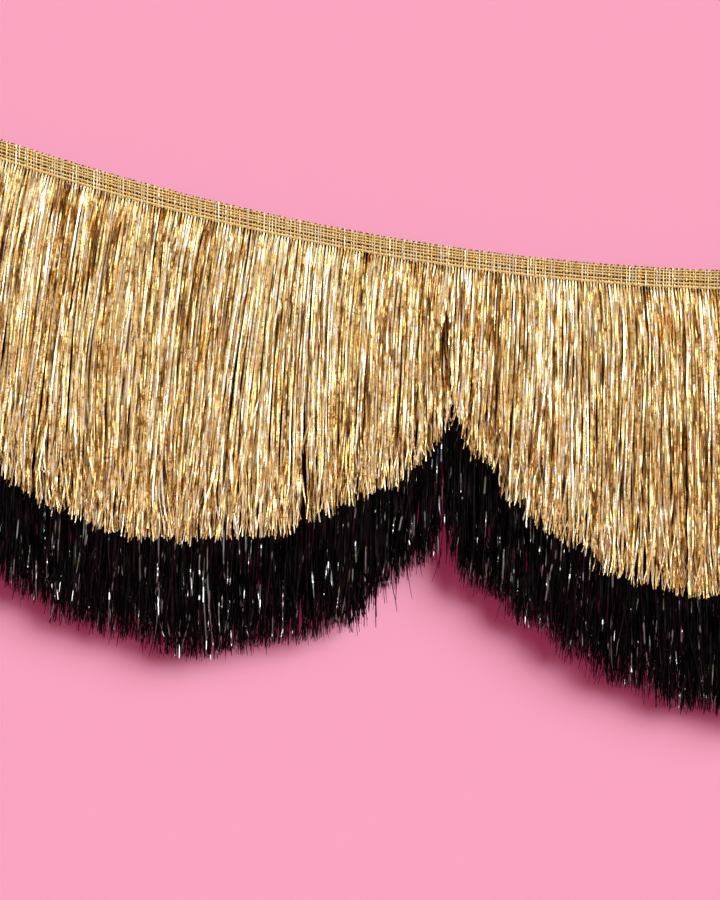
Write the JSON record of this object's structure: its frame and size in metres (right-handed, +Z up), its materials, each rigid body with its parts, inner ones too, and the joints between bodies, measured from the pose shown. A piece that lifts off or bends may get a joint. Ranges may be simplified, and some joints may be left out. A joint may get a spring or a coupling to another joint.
{
  "type": "scalloped fringe banner",
  "caption": "Scalloped party banner: gold tinsel fringe over a longer black tinsel fringe, sewn under a narrow woven header tape that hangs in a swag between end eyes.",
  "frame": {"origin": "on the flat back of the header tape, at mid-height, in the middle of the swag", "axes": "+X along the banner to the right as seen from the front, +Y backward to the wall, +Z up"},
  "size_m": [0.8807, 0.0095, 0.2998],
  "materials": {
    "gold_weave": "woven tape of gold foil on tan cords",
    "black_weave": "woven tape of black foil on dark cords",
    "gold_foil": "metallised gold foil, crinkled and glinting",
    "black_foil": "glossy black foil, crinkled",
    "thread": "brown sewing thread",
    "binding_cloth": "woven tan tape"
  },
  "bodies": {
    "header_centre": {"gold_header_centre": "gold_weave", "black_header_centre": "black_weave", "seam_thread_centre": "thread"},
    "header_left": {"gold_header_left": "gold_weave", "black_header_left": "black_weave", "seam_thread_left": "thread", "end_binding_left": "binding_cloth", "bar_tack_left": "thread"},
    "header_right": {"gold_header_right": "gold_weave", "black_header_right": "black_weave", "seam_thread_right": "thread", "end_binding_right": "binding_cloth", "bar_tack_right": "thread"},
    "black_layer_left": {"black_fringe_left": "black_foil"},
    "black_layer_centre": {"black_fringe_centre": "black_foil"},
    "black_layer_right": {"black_fringe_right": "black_foil"},
    "gold_layer_left": {"gold_fringe_left": "gold_foil"},
    "gold_layer_centre": {"gold_fringe_centre": "gold_foil"},
    "gold_layer_right": {"gold_fringe_right": "gold_foil"},
    "eye_left": {"hanging_eye_left": "binding_cloth"},
    "eye_right": {"hanging_eye_right": "binding_cloth"}
  },
  "joints": [
    {"name": "fold_left", "type": "hinge", "parent": "header_centre", "child": "header_left", "pos_m": [-0.14, 0, 0.00813], "axis": [0, 0, -1], "range_deg": [0, 90]},
    {"name": "fold_right", "type": "hinge", "parent": "header_centre", "child": "header_right", "pos_m": [0.14, 0, 0.00813], "axis": [0, 0, 1], "range_deg": [0, 90]},
    {"name": "lift_black_left", "type": "hinge", "parent": "header_left", "child": "black_layer_left", "pos_m": [-0.28, -0.0031, 0.03534], "axis": [-0.9742, 0, 0.2255], "range_deg": [0, 30]},
    {"name": "lift_black_centre", "type": "hinge", "parent": "header_centre", "child": "black_layer_centre", "pos_m": [0, -0.0031, 0.00293], "axis": [-1, 0, 0], "range_deg": [0, 30]},
    {"name": "lift_black_right", "type": "hinge", "parent": "header_right", "child": "black_layer_right", "pos_m": [0.28, -0.0031, 0.03534], "axis": [-0.9742, 0, -0.2255], "range_deg": [0, 30]},
    {"name": "lift_gold_left", "type": "hinge", "parent": "black_layer_left", "child": "gold_layer_left", "pos_m": [-0.28, -0.0031, 0.03534], "axis": [-0.9742, 0, 0.2255], "range_deg": [0, 35]},
    {"name": "lift_gold_centre", "type": "hinge", "parent": "black_layer_centre", "child": "gold_layer_centre", "pos_m": [0, -0.0031, 0.00293], "axis": [-1, 0, 0], "range_deg": [0, 35]},
    {"name": "lift_gold_right", "type": "hinge", "parent": "black_layer_right", "child": "gold_layer_right", "pos_m": [0.28, -0.0031, 0.03534], "axis": [-0.9742, 0, -0.2255], "range_deg": [0, 35]},
    {"name": "turn_eye_left", "type": "hinge", "parent": "header_left", "child": "eye_left", "pos_m": [-0.42185, -0.00115, 0.07386], "axis": [0, 0, 1], "range_deg": [-75, 75]},
    {"name": "turn_eye_right", "type": "hinge", "parent": "header_right", "child": "eye_right", "pos_m": [0.42185, -0.00115, 0.07386], "axis": [0, 0, 1], "range_deg": [-75, 75]}
  ]
}
